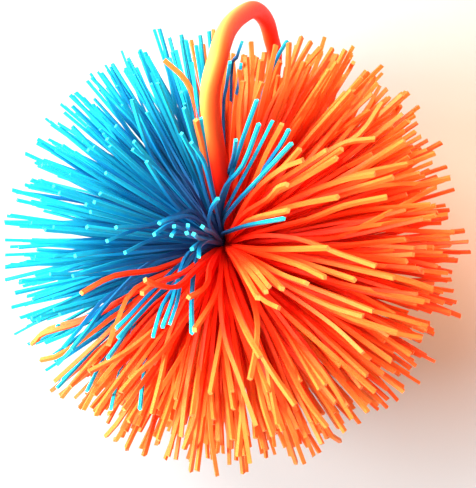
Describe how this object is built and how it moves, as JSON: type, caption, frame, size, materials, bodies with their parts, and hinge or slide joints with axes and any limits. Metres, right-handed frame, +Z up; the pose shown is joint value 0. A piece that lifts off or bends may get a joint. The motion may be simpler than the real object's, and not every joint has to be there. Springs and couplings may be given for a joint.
{
  "type": "stringy stress ball",
  "caption": "Stress ball of soft square rubber strands, blue and orange, tied at the core, with a thick rubber finger loop.",
  "frame": {"origin": "on the table, under the middle of the bounding box", "axes": "+Z up, along the axis of the core tie and through both mouths; +Y towards the finger loop; +X to the right when seen from above with the loop at the top"},
  "size_m": [0.0755, 0.08, 0.0705],
  "materials": {
    "orange_rubber": "soft satin",
    "blue_rubber": "soft satin",
    "loop_rubber": "soft satin",
    "nylon": "matte"
  },
  "bodies": {
    "root": {"blue_strands_01": "blue_rubber", "blue_strands_02": "blue_rubber", "blue_strands_03": "blue_rubber", "blue_strands_04": "blue_rubber", "blue_strands_05": "blue_rubber", "blue_strands_06": "blue_rubber", "blue_strands_07": "blue_rubber", "blue_strands_08": "blue_rubber", "blue_strands_09": "blue_rubber", "blue_strands_10": "blue_rubber", "blue_strands_11": "blue_rubber", "blue_strands_12": "blue_rubber", "blue_strands_13": "blue_rubber", "orange_strands_01": "orange_rubber", "orange_strands_02": "orange_rubber", "orange_strands_03": "orange_rubber", "orange_strands_04": "orange_rubber", "orange_strands_05": "orange_rubber", "orange_strands_06": "orange_rubber", "orange_strands_07": "orange_rubber", "orange_strands_08": "orange_rubber", "orange_strands_09": "orange_rubber", "orange_strands_10": "orange_rubber", "orange_strands_11": "orange_rubber", "orange_strands_12": "orange_rubber", "orange_strands_13": "orange_rubber", "orange_strands_14": "orange_rubber", "orange_strands_15": "orange_rubber", "orange_strands_16": "orange_rubber", "orange_strands_17": "orange_rubber", "orange_strands_18": "orange_rubber", "orange_strands_19": "orange_rubber", "orange_strands_20": "orange_rubber", "orange_strands_21": "orange_rubber", "orange_strands_22": "orange_rubber", "orange_strands_23": "orange_rubber", "finger_loop": "loop_rubber", "core_tie": "nylon"}
  },
  "joints": []
}
